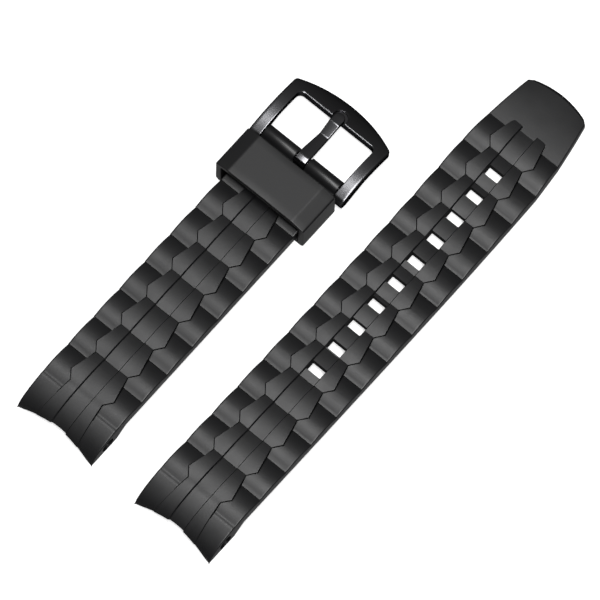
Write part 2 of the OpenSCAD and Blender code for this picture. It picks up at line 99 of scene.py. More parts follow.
def patterned_material(name, surface, blotch, change, grain=0, depth=0):
    """A principled surface whose roughness wanders up and down by the change, in noise of
    the blotch's size. If a depth is given, noise of the grain's size makes bumps of that
    depth. Sizes are in millimetres, and the scale of a noise is one over its size."""
    material = bpy.data.materials.new(name)
    material.use_nodes = True
    material.node_tree.nodes.clear()
    place = add_node(material, "ShaderNodeTexCoord")
    clouds = add_node(material, "ShaderNodeTexNoise", {"Scale": 1 / (blotch * MM)},
                      {"Vector": (place, "Object")})
    spread = add_node(material, "ShaderNodeMapRange",
                      {"To Min": surface["Roughness"] - change,
                       "To Max": surface["Roughness"] + change}, {"Value": (clouds, "Fac")})
    links = {"Roughness": (spread, "Result")}
    if depth:
        grains = add_node(material, "ShaderNodeTexNoise",
                          {"Scale": 1 / (grain * MM), "Detail": 2.0, "Roughness": 0.5},
                          {"Vector": (place, "Object")})
        bump = add_node(material, "ShaderNodeBump",
                        {"Strength": 1.0, "Distance": depth * MM},
                        {"Height": (grains, "Fac")})
        links["Normal"] = (bump, "Normal")
    shader = add_node(material, "ShaderNodeBsdfPrincipled", surface, links)
    add_node(material, "ShaderNodeOutputMaterial", {}, {"Surface": (shader, "BSDF")})
    return material


# The mould's eroded grain leaves the skin matt, with soft wide highlights on the crowned
# links, and its sheen wanders over a few millimetres. The real grain is too fine to show,
# so it is drawn 0.45 mm wide.
moulded_rubber = patterned_material(
    "moulded black fluoroelastomer",
    {"Base Color": linear("#161617"), "Roughness": 0.39, "IOR": 1.45},
    blotch=4.0, change=0.08, grain=0.45, depth=0.007)

# Where the holes are punched through, the cut rubber is rougher and duller than the skin,
# and its darker colour is painted shade for the shadow that falls inside the holes.
# Its torn grain is drawn 0.3 mm wide, coarser than it is, to show at all.
cut_rubber_painted_shade = patterned_material(
    "punched edge of black fluoroelastomer with painted shade",
    {"Base Color": linear("#0E0E0F"), "Roughness": 0.9, "IOR": 1.3},
    blotch=1.0, change=0.05, grain=0.3, depth=0.02)

# Measures that both halves share, in millimetres, as in the CAD part. A riser is the step
# up to a link, and a lip is the flatter start of one.
lug_half = 10.0
case_r = 19.2
case_lean = math.radians(54)
nose_run = 13.0
nose_drop = 5.4
nose_tip_x = -1.3
nose_top_x = nose_tip_x + nose_run
nose_len = 14.5
nose_inner_half = 5.6
nose_least_angle = math.radians(1.5)
link_pitch = 7.93
outer_h = 3.2
outer_crown = 10.5
inner_h = 3.5
inner_crown = 20.0
centre_h = 3.0
centre_half = 1.825
column_wall = 0.24
crest = 0.46 * link_pitch
outer_joint = nose_len - link_pitch
inner_joint = outer_joint + 2.1
nose_widening = inner_joint - nose_tip_x + 1
outer_blend = 0.55
inner_blend = 1.25
riser_half = 0.04
lip_len = 0.38
lip_tilt = math.radians(6)
notch_half = 4.2
apex_half = 5.675
flank_len = 1.9
zigzag_wall = 0.14
zigzag_groove = 0.19
groove_run = 0.12
tab_round = 0.45
nose_low = outer_h - nose_drop
nose_end_z = outer_h - nose_drop * (1 - math.sqrt(1 - (nose_top_x / nose_run) ** 2))
bore_x = 3.8
bore_z = -0.2
bore_r = 1.0
pocket_r = 1.7
pocket_depth = 0.6
pocket_from = 1.7
pocket_to = 5.8
boss_end = bore_x + 2.7
boss_root = boss_end + 3.0
edge_r = 0.28
hole_half = 1.15
hole_corner = 0.15

# How finely the halves are divided: cross lines, lanes along the strap and side rows
curl_end = 5.0
curl_y = 5.0
curl_rows = 14
line_spacing = 0.62
side_rows = 6
blend_parts = np.array([-1, -0.5, 0.5, 1])
quarter = np.radians([0, 22.5, 45, 67.5, 90])
core_lanes = [0.75, centre_half - hole_corner, centre_half - hole_corner / 2, centre_half]
channel_lanes = [3.24, 3.36]
inner_lanes = [centre_half + column_wall, centre_half + 0.5] + channel_lanes
groove_lane = len(core_lanes) + len(inner_lanes) + 3
zigzag_lane = 0.3
outer_parts = (0.33, 0.66)
edge_lane = 0.07
tab_lines = np.array([tab_round, 0.25, 0.12])
slack = 0.001


def column_top(x, height, joint, crown, blend):
    """Height of a column of links at x. Each link is an arc of the crown's radius with its
    crest a little before its middle, and its first edge is a flatter lip. Before the first
    joint it is a quarter ellipse that comes down to the case end, and the two are blended
    over a short way each side."""
    step = np.mod(x - joint, link_pitch)
    lip = np.clip(lip_len - step, 0, None) * (x > joint + blend)
    step = np.where(x < joint, x - joint, step + lip)
    link = height - crown + np.sqrt(np.clip(crown ** 2 - (step - crest) ** 2, 0, None))
    link = link - lip * math.tan(lip_tilt)
    reach = np.clip((nose_top_x - x) / nose_run, 0, 1)
    nose = height - nose_drop + nose_drop * np.sqrt(1 - reach ** 2)
    way = np.clip((x - joint) / blend / 2 + 0.5, 0, 1)
    way = way * way * (3 - 2 * way)
    return nose + (link - nose) * way


def nose_angle(y, height):
    """Where the round case wall cuts the nose, for a column of that height at y: the angle
    along the nose's ellipse, and how far the wall lies back there. The cut is a leaning
    cylinder, so the angle has a closed form."""
    sag = case_r - np.sqrt(case_r ** 2 - y ** 2)
    across = math.cos(case_lean) * nose_run
    rise = math.sin(case_lean) * nose_drop
    level = (math.cos(case_lean) * nose_top_x
             + math.sin(case_lean) * (height - nose_drop - nose_end_z) + sag)
    size = math.hypot(across, rise)
    angle = np.arccos(np.clip(level / size, -1, 1)) - math.atan2(rise, across)
    return np.maximum(angle, nose_least_angle), sag


def spaced_lines(start, end, spacing, marks):
    """Places of the cross lines: evenly spaced, with a line at each mark, and no even line
    within 0.3 of the spacing of a mark, where a sliver would come between."""
    marks = np.unique(np.round(marks, 4))
    marks = marks[(marks >= start) & (marks <= end)]
    even = np.linspace(start, end, int(round((end - start) / spacing)) + 1)
    apart = np.abs(even[:, None] - marks[None, :]).min(axis=1)
    return np.unique(np.round(np.concatenate([even[apart > 0.3 * spacing], marks]), 4))


def strap_lines(end_x, joints, lags, steps, holes):
    """The cross lines past curl_end, with marks on each side of every riser, at every lip
    and zigzag corner, through the blends and at the edges and corners of the holes."""
    risers = np.concatenate([joints, lags, steps])
    marks = [risers - riser_half, risers + riser_half, joints + lip_len, lags + lip_len,
             lags + flank_len, outer_joint + outer_blend * blend_parts,
             inner_joint + inner_blend * blend_parts,
             lags[-1] - tab_lines, [boss_end, boss_root, curl_end, end_x]]
    corner_lines = hole_half - hole_corner * np.array([0, 0.5, 1])
    for x in holes:
        marks += [x - corner_lines, x + corner_lines]
    return spaced_lines(curl_end, end_x, line_spacing, np.concatenate(marks))


def zigzag_edge(x, tab_end):
    """How far the inner columns' edge lies from the strap's middle: out over each link's
    first flank and in over its second. It widens towards the nose, and it is rounded where
    the last links end in a tab."""
    step = np.mod(x - inner_joint, link_pitch)
    rise = np.clip(step / flank_len, 0, 1)
    fall = np.clip((step - flank_len) / (link_pitch - flank_len), 0, 1)
    edge = notch_half + (apex_half - notch_half) * (rise - fall)
    ahead = (inner_joint - x) / nose_widening
    widened = notch_half + (nose_inner_half - notch_half) * ahead
    edge = np.where(x < inner_joint, widened, edge)
    past = np.clip(x - tab_end + tab_round, 0, tab_round)
    rounded = notch_half - tab_round + np.sqrt(tab_round ** 2 - past ** 2 + 1e-12)
    return np.where(x > tab_end - tab_round, rounded, edge)


def round_corners(sheet, holes):
    """Draws the points at a hole's corners in, so that they lie on a small circle. Such
    points are past both of the hole's straights, by no more than the circle's radius."""
    for hole_x in holes:
        out_x = np.abs(sheet[..., 0] - hole_x) - (hole_half - hole_corner)
        out_y = np.abs(sheet[..., 1]) - (centre_half - hole_corner)
        near = np.minimum(out_x, out_y) > 1e-6
        near &= np.maximum(out_x, out_y) < hole_corner + slack
        pull = 1 - hole_corner / np.maximum(np.hypot(out_x, out_y), hole_corner)
        pull = np.where(near, pull, 0)
        sheet[..., 0] -= np.sign(sheet[..., 0] - hole_x) * out_x * pull
        sheet[..., 1] -= np.sign(sheet[..., 1]) * out_y * pull


def strap_sheets(lines, tab_end, half_width, ends, level, floor_z, holes, set_back):
    """The top and the underside as grids of points, a row for each cross line and a lane
    for each line along the strap. The lanes follow the centre column, the zigzag edge and
    the rounded outer edge. Before curl_end the rows fan out to the round case wall."""
    curl = np.linspace(0, 1, curl_rows + 1)[:-1]
    first = nose_angle(np.array(curl_y), outer_h)[0]
    last = math.acos((nose_top_x - curl_end) / nose_run)
    place = np.concatenate(
        [nose_top_x - nose_run * np.cos(first + (last - first) * curl), lines])
    zigzag = zigzag_edge(place, tab_end)
    flat = half_width(place) - edge_r

    # Lanes from the strap's middle out to one side, then mirrored
    half = [np.full(len(place), y) for y in core_lanes + inner_lanes]
    half += [zigzag - zigzag_lane, zigzag, zigzag + zigzag_wall]
    bank = zigzag + zigzag_wall + groove_run
    half += [bank] + [bank + (flat - bank) * part for part in outer_parts]
    half += [flat - edge_lane] + [flat + edge_r * math.sin(turn) for turn in quarter]
    half = np.stack(half, axis=1)
    y = np.concatenate([-half[:, ::-1], np.zeros((len(place), 1)), half], axis=1)
    lanes = y.shape[1]
    lane = np.abs(np.arange(lanes) - lanes // 2)
    in_core = lane <= len(core_lanes)
    in_inner = ~in_core & (lane < groove_lane)
    height = np.where(in_core, centre_h, np.where(in_inner, inner_h, outer_h))
    drop = np.zeros(lanes)
    drop[:len(quarter)] = edge_r * (1 - np.cos(quarter[::-1]))
    drop[-len(quarter):] = edge_r * (1 - np.cos(quarter))

    # The top: a column's own height in its lanes, the plain level past its last link, and
    # a fine groove along the foot of the zigzag wall
    x = np.repeat(place[:, None], lanes, axis=1)
    inner_z = column_top(x, inner_h, inner_joint, inner_crown, inner_blend)
    outer_z = column_top(x, outer_h, outer_joint, outer_crown, outer_blend)
    centre_z = inner_z - inner_h + centre_h
    centre_end, inner_end, outer_end = ends
    links = np.where(in_core, centre_z, np.where(in_inner, inner_z, outer_z))
    link_end = np.where(in_core, centre_end, np.where(in_inner, inner_end, outer_end))
    z = np.where(x < link_end, links, level(x))
    grooved = (lane == groove_lane) & (x < outer_end) & (x > curl_end)
    z = np.where(grooved, np.minimum(outer_z, inner_z) - zigzag_groove, z)

    # The nose's own rows, from the case wall to curl_end, on the top and underneath
    angle, sag = nose_angle(y, height)
    turn = angle[:curl_rows] + (last - angle[:curl_rows]) * curl[:, None]
    x[:curl_rows] = nose_top_x - nose_run * np.cos(turn)
    z[:curl_rows] = height - nose_drop + nose_drop * np.sin(turn)
    low = floor_z(x, y)
    low_x = x.copy()
    foot_x = (nose_end_z - nose_low) * math.tan(case_lean) - sag / math.cos(case_lean)
    foot_x = foot_x[:curl_rows]
    low_x[:curl_rows] = foot_x + (curl_end - foot_x) * curl[:, None]
    low[:curl_rows] = nose_low
    back = set_back(x, y)
    top = np.stack([x - back, y, z - drop], axis=2)
    under = np.stack([low_x - back, y, low + drop], axis=2)
    round_corners(top, holes)
    round_corners(under, holes)
    return top, under


def rim(grid):
    """Numbers of the points round a grid of numbers, in order."""
    return np.concatenate([grid[:-1, 0], grid[-1, :-1], grid[:0:-1, -1], grid[0, :0:-1]])


def closed_rings(number):
    """Quads between rings of points that follow each other, each ring closed on itself."""
    along = np.roll(number, -1, axis=1)
    return np.stack([number[:-1], number[1:], along[1:], along[:-1]], axis=2).reshape(-1, 4)


def around(turn, radius, centre=(0, 0)):
    """Points on a circle at each angle, or at its own radius for each angle."""
    return np.array(centre) + radius * np.stack([np.cos(turn), np.sin(turn)], axis=1)


def stood_at(outline, y):
    """An outline in x and z as points in space, at one y or at each point's own."""
    return np.insert(outline, 1, y, axis=1)


def half_strap(rows, end_x, half_width, ends, level, floor_z, holes, set_back):
    """A rubber half as a closed tube of loops across the strap. Every loop runs over the
    top, down a side wall, back under the strap and up the other wall. Holes are cells left
    out of the top and the underside, joined by walls, and the cross bore is a tube between
    the side walls. The half width at x and the level at x beyond the ends of the centre,
    inner and outer columns are functions, and so are the underside's height and how far the
    strap's end is drawn back, at x and y. Returns the points, the faces and how many of the
    faces, the first ones, are walls of holes."""
    joints = outer_joint + link_pitch * np.arange(rows + 2)
    lags = inner_joint + link_pitch * np.arange(rows + 2)
    lines = strap_lines(end_x, joints, lags, ends, holes)
    top, under = strap_sheets(lines, lags[-1], half_width, ends, level, floor_z, holes,
                              set_back)
    count, lanes = top.shape[:2]

    # Side walls, then the loops
    share = (np.arange(1, side_rows) / side_rows)[None, :, None]
    right = top[:, -1:] + (under[:, -1:] - top[:, -1:]) * share
    left = under[:, :1] + (top[:, :1] - under[:, :1]) * share
    loops = np.concatenate([top, right, under[:, ::-1], left], axis=1)
    size = loops.shape[1]
    number = np.arange(count * size).reshape(count, size)
    under_start = lanes + side_rows - 1
    under_number = number[:, under_start:under_start + lanes][:, ::-1]
    points = [loops.reshape(-1, 3)]
    used = count * size
    keep = np.ones((count - 1, size), bool)
    faces = []

    # The walls of the holes
    middle = lanes // 2
    first_lane, last_lane = middle - len(core_lanes), middle + len(core_lanes)
    mirrored = under_start + lanes - 1
    for hole_x in holes:
        i1, i2 = (curl_rows + int(np.argmin(np.abs(lines - hole_x - side)))
                  for side in (-hole_half, hole_half))
        keep[i1:i2, first_lane:last_lane] = False
        keep[i1:i2, mirrored - last_lane:mirrored - first_lane] = False
        mouths = [rim(sheet[i1:i2 + 1, first_lane:last_lane + 1])
                  for sheet in (number, under_number)]
        faces.append(closed_rings(np.stack(mouths)))
    cut = sum(len(walls) for walls in faces)

    # The cross bore for the case's spring bar, with a pocket at each mouth
    side_x = top[:, -1, 0]
    i1 = int(np.searchsorted(side_x, pocket_from)) - 1
    i2 = int(np.searchsorted(side_x, pocket_to))
    down = np.arange(side_rows + 1)
    mouths = []
    for side, column, first_row in ((1, lanes - 1 + down, lanes - 1),
                                    (-1, (size - down) % size, size - side_rows)):
        keep[i1:i2, first_row:first_row + side_rows] = False
        edge = rim(number[i1:i2 + 1, column])
        seen = points[0][edge]
        turn = np.arctan2(seen[:, 2] - bore_z, seen[:, 0] - bore_x)
        wall_y = np.abs(seen[:, 1])
        floor_y = wall_y.max() - pocket_depth
        for radius, ring_y in ((pocket_r, wall_y), (pocket_r, floor_y), (bore_r, floor_y)):
            points.append(stood_at(around(turn, radius, (bore_x, bore_z)), side * ring_y))
            ring = used + np.arange(len(edge))
            used += len(edge)
            faces.append(closed_rings(np.stack([edge, ring])))
            edge = ring
        mouths.append(edge)
    faces.append(closed_rings(np.stack(mouths)))

    # Both ends are closed by straight rows from the top down to the underside
    between = side_rows - 1
    for i in (0, count - 1):
        cap = np.zeros((side_rows + 1, lanes), int)
        cap[0] = number[i, :lanes]
        cap[-1] = under_number[i]
        cap[1:-1, -1] = number[i, lanes:lanes + between]
        cap[1:-1, 0] = number[i, -1:-side_rows:-1]
        inside = used + np.arange(between * (lanes - 2))
        cap[1:-1, 1:-1] = inside.reshape(between, lanes - 2)
        used += len(inside)
        drawn = top[i, 1:-1] + (under[i, 1:-1] - top[i, 1:-1]) * share.reshape(-1, 1, 1)
        points.append(drawn.reshape(-1, 3))
        faces.append(np.stack([cap[:-1, :-1], cap[:-1, 1:], cap[1:, 1:], cap[1:, :-1]],
                              axis=2).reshape(-1, 4))
    faces.append(closed_rings(number)[keep.ravel()])
    return np.concatenate(points), np.concatenate(faces), cut


def laid(points, tilt, shift=(0, 0, 0)):
    """Turns points from a half's own flat view about its lug bore, so that its nose and far
    end touch the ground, then moves them to their place."""
    x = points[:, 0] - bore_x
    z = points[:, 2] - bore_z
    return np.stack([x * math.cos(tilt) + z * math.sin(tilt), points[:, 1],
                     z * math.cos(tilt) - x * math.sin(tilt)], axis=1) + np.array(shift)


def finished_piece(name, points, faces, material, body, node, caps=(), cut=0,
                   crease=32):
    """Puts points in millimetres, four-sided faces and flat caps into a mesh, merges the
    points that fall together, turns the faces outwards and marks edges over the crease
    angle as sharp. The first faces, as many as cut says, are of cut rubber, whose darker
    colour is painted shade inside the holes."""
    mesh = bpy.data.meshes.new(name)
    mesh.from_pydata((points * MM).tolist(), [],
                     faces.tolist() + [cap.tolist() for cap in caps])
    is_cut = np.arange(len(mesh.polygons)) < cut
    mesh.polygons.foreach_set("material_index", is_cut.astype(np.int32))
    shell = bmesh.new()
    shell.from_mesh(mesh)
    bmesh.ops.remove_doubles(shell, verts=shell.verts, dist=2e-6)
    bmesh.ops.dissolve_degenerate(shell, edges=shell.edges, dist=1e-6)
    bmesh.ops.recalc_face_normals(shell, faces=shell.faces)
    shell.to_mesh(mesh)
    shell.free()
    mesh.polygons.foreach_set("use_smooth", np.ones(len(mesh.polygons), bool))
    mesh.set_sharp_from_angle(angle=math.radians(crease))
    mesh.materials.append(material)
    if cut:
        mesh.materials.append(cut_rubber_painted_shade)
    piece = bpy.data.objects.new(name, mesh)
    bpy.context.scene.collection.objects.link(piece)
    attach(piece, body)
    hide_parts(node)
    return piece


# Buckle half: one moulding of black fluoroelastomer with six full rows of links, then a
# thin seat under the keeper, rolled up into a barrel that holds the buckle's spring bar.
buckle_rows = 6
last_joint = nose_len + buckle_rows * link_pitch
ledge_x = last_joint + 1.5
seat_h = 2.0
seat_half = 9.8
barrel_r = 1.7
barrel_half = 9.9
barrel_edge = 0.2
bar_bore_r = 0.8
slot_half = 1.58
bar_x = 76.494
bar_z = barrel_r
slot_back = bar_x - 2.0
seat_overlap = 0.4
fillet_turn = 155
fillet_run = 0.75
fillet_handle = (-0.1, 0.05)
shell_levels = (seat_h, 1.2, 0.4, 0.0)
buckle_tilt = math.radians(1.03411)


def flat_underside(x, y):
    """Level under the nose, a slope up past the boss, then flat."""
    return np.interp(x, [boss_end, boss_root], [nose_low, 0.0])


def buckle_half_width(x):
    """Narrows a little in a straight line, from the lug's width to the seat's."""
    return np.interp(x, [0, ledge_x], [lug_half, seat_half])


def bend(start, handle, end, count):
    """Points on a curve that leaves its start towards the handle and comes to its end from
    there. Each is a mean of the three, and the weights are the squares of the way left and
    the way gone for start and end, and twice their product for the handle."""
    way = np.linspace(0, 1, count)[:, None]
    return ((1 - way) ** 2 * np.array(start) + 2 * way * (1 - way) * np.array(handle)
            + way ** 2 * np.array(end))


def barrel_shells():
    """Two lengths of rolled barrel, one each side of the tongue's slot. In side view each
    is the barrel's circle run into the seat with a small fillet, round the bar's bore, and
    both outlines have their points at the same angles about the bar."""
    bar = (bar_x, bar_z)
    meet = bar_x - math.sqrt(barrel_r ** 2 - (seat_h - bar_z) ** 2)
    circle = around(np.radians(np.linspace(-90, fillet_turn, 36)), barrel_r, bar)
    handle = (meet + fillet_handle[0], seat_h + fillet_handle[1])
    fillet = bend(circle[-1], handle, (meet - fillet_run, seat_h), 6)
    root = [(slot_back - seat_overlap, level) for level in shell_levels]
    outline = np.concatenate([circle, fillet[1:], root])
    spoke = outline - np.array(bar)
    bore = around(np.arctan2(spoke[:, 1], spoke[:, 0]), bar_bore_r, bar)
    spoke /= np.linalg.norm(spoke, axis=1)[:, None]
    points = []
    faces = []
    for low_y, high_y in ((-barrel_half, -slot_half), (slot_half, barrel_half)):
        part = 0.3 * barrel_edge
        rounds = [(low_y, barrel_edge), (low_y + part, part), (low_y + barrel_edge, 0),
                  (high_y - barrel_edge, 0), (high_y - part, part), (high_y, barrel_edge)]
        rings = [stood_at(outline - spoke * inset, y) for y, inset in rounds]
        rings += [stood_at(bore, high_y), stood_at(bore, low_y)]
        number = np.arange(len(rings) * len(outline)).reshape(len(rings), len(outline))
        number += len(points) * len(outline)
        points += rings
        faces.append(closed_rings(np.concatenate([number, number[:1]])))
    return np.concatenate(points), np.concatenate(faces)


strap_points, strap_faces = half_strap(
    buckle_rows, slot_back, buckle_half_width, (ledge_x, ledge_x, ledge_x),
    lambda x: np.full(x.shape, seat_h), flat_underside, [], lambda x, y: 0 * x)[:2]
shell_points, shell_faces = barrel_shells()
finished_piece("buckle_half",
               laid(np.concatenate([strap_points, shell_points]), buckle_tilt),
               np.concatenate([strap_faces, shell_faces + len(strap_points)]),
               moulded_rubber, "root", "buckle_half_strap", crease=24)

# Tail half: the same rubber and links, twelve full rows long, with ten punched-through
# holes in its centre column, a relief channel under them, and a plain tapered tip pad. It
# lies bowed by less than a millimetre, its tip towards the buckle half, as rubber does.
tail_rows = 12
pad_x = nose_len + tail_rows * link_pitch
centre_end = pad_x + 1.1
inner_end = inner_joint + (tail_rows + 1) * link_pitch
tail_len = pad_x + 12.9
waist_half = 9.85
pad_half = 9.3
tip_half = 7.7
tip_r = 20.0
tip_corner = 0.9
tip_round_from = pad_x + 3
tip_round_half = 9
pad_h = 2.6
pad_fall = 0.42
pad_crest = 0.38
pad_lip = 0.3
hole_count = 10
hole_pitch = 6.25
last_hole = tail_len - 22.8
hole_places = last_hole - hole_pitch * np.arange(hole_count)[::-1]
channel_depth = 1.1
channel_half = 3.3
channel_beyond = 4.0
tail_tilt = math.radians(1.08595)
tail_place = (-0.35, -31.9, 0.00241)
bow_middle = 0.38
bow_tip = 0.72
bend_from = 70.0


def tail_half_width(x):
    """Nearly parallel along the links, then tapered to the tip, whose corners are arcs."""
    edge = tail_len - tip_corner
    width = np.interp(x, [0, hole_places[0], pad_x - link_pitch, pad_x, edge],
                      [lug_half, waist_half, waist_half, pad_half, tip_half])
    past = np.clip(x - edge, 0, tip_corner)
    return width - tip_corner + np.sqrt(tip_corner ** 2 - past ** 2 + 1e-9)


def round_tip(x, y):
    """How far the round end of the tip lies back at y, brought in over the pad."""
    part = np.clip((x - tip_round_from) / (tail_len - tip_round_from), 0, 1)
    sag = tip_r - np.sqrt(tip_r ** 2 - np.clip(np.abs(y), 0, tip_round_half) ** 2)
    return sag * part ** 2


def channelled_underside(x, y):
    """The flat underside with the relief channel, round at both ends."""
    ahead = x - np.clip(x, hole_places[0] - channel_beyond, last_hole + channel_beyond)
    inside = np.hypot(ahead, y) < channel_half
    return np.where(inside, channel_depth, flat_underside(x, y))


def pad_top(x):
    """The pad is crowned a little about its crest and falls to its rounded end."""
    way = np.clip((x - pad_x) / (tail_len - pad_x), 0, 1)
    lip = np.clip((x - tail_len + pad_lip) / pad_lip, 0, 1)
    fall = pad_fall * ((way - pad_crest) / (1 - pad_crest)) ** 2
    return pad_h - fall - pad_lip * (1 - np.sqrt(1 - lip ** 2 + 1e-9))


tail_points, tail_faces, cut_faces = half_strap(
    tail_rows, tail_len, tail_half_width, (centre_end, inner_end, pad_x), pad_top,
    channelled_underside, hole_places, round_tip)

# The bow, in plan: one arch over the whole half, and the tip drawn back past the bend
along_tail = (tail_points[:, 0] - bore_x) / (tail_len - bore_x)
past_bend = np.clip((tail_points[:, 0] - bend_from) / (tail_len - bend_from), 0, None)
tail_points[:, 1] += bow_tip * past_bend ** 2
tail_points[:, 1] -= bow_middle * np.sin(np.pi * np.clip(along_tail, 0, 1))
finished_piece("tail_half", laid(tail_points, tail_tilt, tail_place), tail_faces,
               moulded_rubber, "root", "tail_half_strap", cut=cut_faces,
               crease=24)

# Keeper: a loop of the same rubber, moulded apart in a finer-grained mould, so it is a
# little smoother. It has a flat top, a sloping facet at each side and soft rims.
keeper_x = last_joint + 0.7
keeper_len = 10.2
keeper_rim = 0.22
keeper_outside = [(-11.8, -1.0, 0.8), (11.8, -1.0, 0.8), (11.8, 7.2, 0.5), (8.6, 8.1, 2.0),
                  (-8.6, 8.1, 2.0), (-11.8, 7.2, 0.5)]
keeper_inside = [(-10.4, -0.1, 0.4), (10.4, -0.1, 0.4), (10.4, 6.7, 0.6), (-10.4, 6.7, 0.6)]
keeper_middle = np.array([0.0, 3.4])

# The finer grain is too small to show too, so it is drawn 0.35 mm wide, but shallower than
# the strap's. It gives the keeper an even, soft grey sheen.
smooth_rubber = patterned_material(
    "finely moulded black fluoroelastomer",
    {"Base Color": linear("#141415"), "Roughness": 0.42, "IOR": 1.45},
    blotch=6.0, change=0.06, grain=0.35, depth=0.004)


def rounded_outline(corners, middle):
    """A closed outline about a middle, from corners that each have a radius. Each corner is
    an arc of eight steps that touches both straights."""
    spots = np.array([corner[:2] for corner in corners]) - middle
    radii = np.array([corner[2] for corner in corners])
    to_last = np.roll(spots, 1, axis=0) - spots
    to_next = np.roll(spots, -1, axis=0) - spots
    to_last /= np.linalg.norm(to_last, axis=1)[:, None]
    to_next /= np.linalg.norm(to_next, axis=1)[:, None]
    half = np.arccos((to_last * to_next).sum(axis=1)) / 2
    inward = to_last + to_next
    inward /= np.linalg.norm(inward, axis=1)[:, None]
    hub = spots + inward * (radii / np.sin(half))[:, None]
    first = spots + to_last * (radii / np.tan(half))[:, None] - hub
    last = spots + to_next * (radii / np.tan(half))[:, None] - hub
    share = np.linspace(0, 1, 9)[None, :, None]
    spokes = first[:, None] * (1 - share) + last[:, None] * share
    spokes *= radii[:, None, None] / np.linalg.norm(spokes, axis=2)[..., None]
    return (hub[:, None] + spokes).reshape(-1, 2)


def reach_at(turns, outline):
    """How far an outline lies from its middle at each angle: where the ray at that angle
    meets the straight between the two points on either side of it."""
    angle = np.arctan2(outline[:, 1], outline[:, 0])
    order = np.argsort(angle)
    before = np.searchsorted(angle[order], turns, side="right") - 1
    here = outline[order][before]
    step = outline[order][(before + 1) % len(outline)] - here
    return ((here[:, 0] * step[:, 1] - here[:, 1] * step[:, 0])
            / (np.cos(turns) * step[:, 1] - np.sin(turns) * step[:, 0]))


def keeper_mesh():
    """Rings round the wall of the loop. Each ring lies at a depth into the wall, and the
    rings follow each other down the outside, round one rim, back up the inside and round
    the other rim, where each rim edge is a quarter circle."""
    outside = rounded_outline(keeper_outside, keeper_middle)
    inside = rounded_outline(keeper_inside, keeper_middle)
    bends = np.concatenate([outside, inside])
    even = np.linspace(-math.pi, math.pi, 73)[:-1]
    bend_turns = np.arctan2(bends[:, 1], bends[:, 0])
    turns = np.unique(np.round(np.concatenate([bend_turns, even]), 3))
    outer = reach_at(turns, outside)
    wall = outer - reach_at(turns, inside)
    low = keeper_rim * (1 - np.sin(quarter))
    deep = keeper_rim * (1 - np.cos(quarter))
    even_x = np.linspace(keeper_rim, keeper_len - keeper_rim, 7)[1:-1]
    x = np.concatenate([even_x, keeper_len - low, keeper_len - low[::-1], even_x[::-1],
                        low, low[::-1]])
    depth = np.concatenate([0 * even_x, deep, -deep[::-1], 0 * even_x, -deep, deep[::-1]])
    inner_side = np.repeat([0, 1, 0], [len(even_x) + len(low), len(even_x) + 2 * len(low),
                                       len(low)])
    reach = outer[None, :] - inner_side[:, None] * wall[None, :] - depth[:, None]
    points = np.stack([np.broadcast_to(keeper_x + x[:, None], reach.shape),
                       keeper_middle[0] + reach * np.cos(turns),
                       keeper_middle[1] + reach * np.sin(turns)], axis=2)
    number = np.arange(reach.size).reshape(reach.shape)
    return points.reshape(-1, 3), closed_rings(np.concatenate([number, number[:1]]))


keeper_points, keeper_faces = keeper_mesh()
finished_piece("keeper", laid(keeper_points, buckle_tilt), keeper_faces, smooth_rubber,
               "keeper", "keeper_loop")

# Buckle frame: pressed and machined from stainless steel, arched, with a rounded eye at the
# back of each arm, then polished and coated black by vapour deposition. It turns on the
# spring bar, whose pins reach into a blind hole in each arm.
frame_in = 10.1
frame_out = 12.7
frame_reach = 15.7
frame_t = 2.0
front_r = 28.4
frame_corner = 1.0
window_u = frame_reach - 4.75
window_near = window_u - 0.01
window_corner = 1.2
arm_top = 1.5
arch = 1.2
arch_r = frame_reach ** 2 / 8 / arch + arch / 2
arch_u = frame_reach / 2
arch_w = arm_top + arch - arch_r
eye_u = -1.4
eye_w = -0.2
eye_r = 1.5
eye_end_r = 0.35
eye_end_run = 0.5
ground_u = -1.8
ground_slope = 0.3
web_from = (-0.867, -1.57)
web_to = (4.5, 0.516)
bevel_w = 0.3
bevel_d = 0.1
bevel_fade = 0.5
notch_u = window_u + 0.75
notch_r = 1.65
notch_lip = 0.05
notch_depth = 0.6
notch_slack = 0.004
window_edge_r = 0.07
outer_edge_r = 0.35
under_edge_r = 0.15
full_thick = 1.2
pin_hole_r = 0.45
pin_hole = 1.3
pin_patch = 0.8
wall_rows = 6
front_lines = np.array([0.1, 0.05, 0.015])
notch_lines = np.array([[-0.02, 0, 0.008, 0.025, 0.05]])
bevel_lines = np.array([[0.2, bevel_w - 0.03, bevel_w, bevel_w + 0.03, 0.65]])
droop = math.radians(6.23587)

# The coating is thin and follows the polish, so the metal looks black, with narrow bright
# highlights where it faces the light. Its polish varies a little over 1.5 mm. The darker
# tint at grazing angles is painted shade, for the shaded table that the steep walls would
# reflect.
black_steel = patterned_material(
    "polished steel coated black by vapour deposition",
    {"Base Color": linear("#5C5C5E"), "Metallic": 1.0, "Roughness": 0.24,
     "Specular Tint": linear("#505052")},
    blotch=1.5, change=0.012)


def arch_top(u):
    """The frame's top is part of a round arch about an axis across the strap."""
    return arch_w + np.sqrt(arch_r ** 2 - (u - arch_u) ** 2)


def arm_top_at(u):
    """The arch's top, ground off a little at the back, and behind the middle of the eye the
    lower of that and the eye."""
    eye = eye_w + np.sqrt(np.clip(eye_r ** 2 - (u - eye_u) ** 2, 0, None))
    ground = arch_top(u) - ground_slope * np.clip(ground_u - u, 0, None)
    return np.where(u < eye_u, np.minimum(ground, eye), arch_top(u))


def frame_under(u):
    """The lowest of the arch's underside, the web under the arm and the lower half of the
    eye."""
    strip = arch_w + np.sqrt((arch_r - frame_t) ** 2 - (u - arch_u) ** 2)
    eye = eye_w - np.sqrt(np.clip(eye_r ** 2 - (u - eye_u) ** 2, 0, None))
    web = np.interp(u, [web_from[0], web_to[0]], [web_from[1], web_to[1]])
    low = np.where(u < eye_u, eye, np.minimum(strip, np.where(u < web_from[0], eye, strip)))
    return np.where((u > web_from[0]) & (u < web_to[0]), np.minimum(low, web), low)


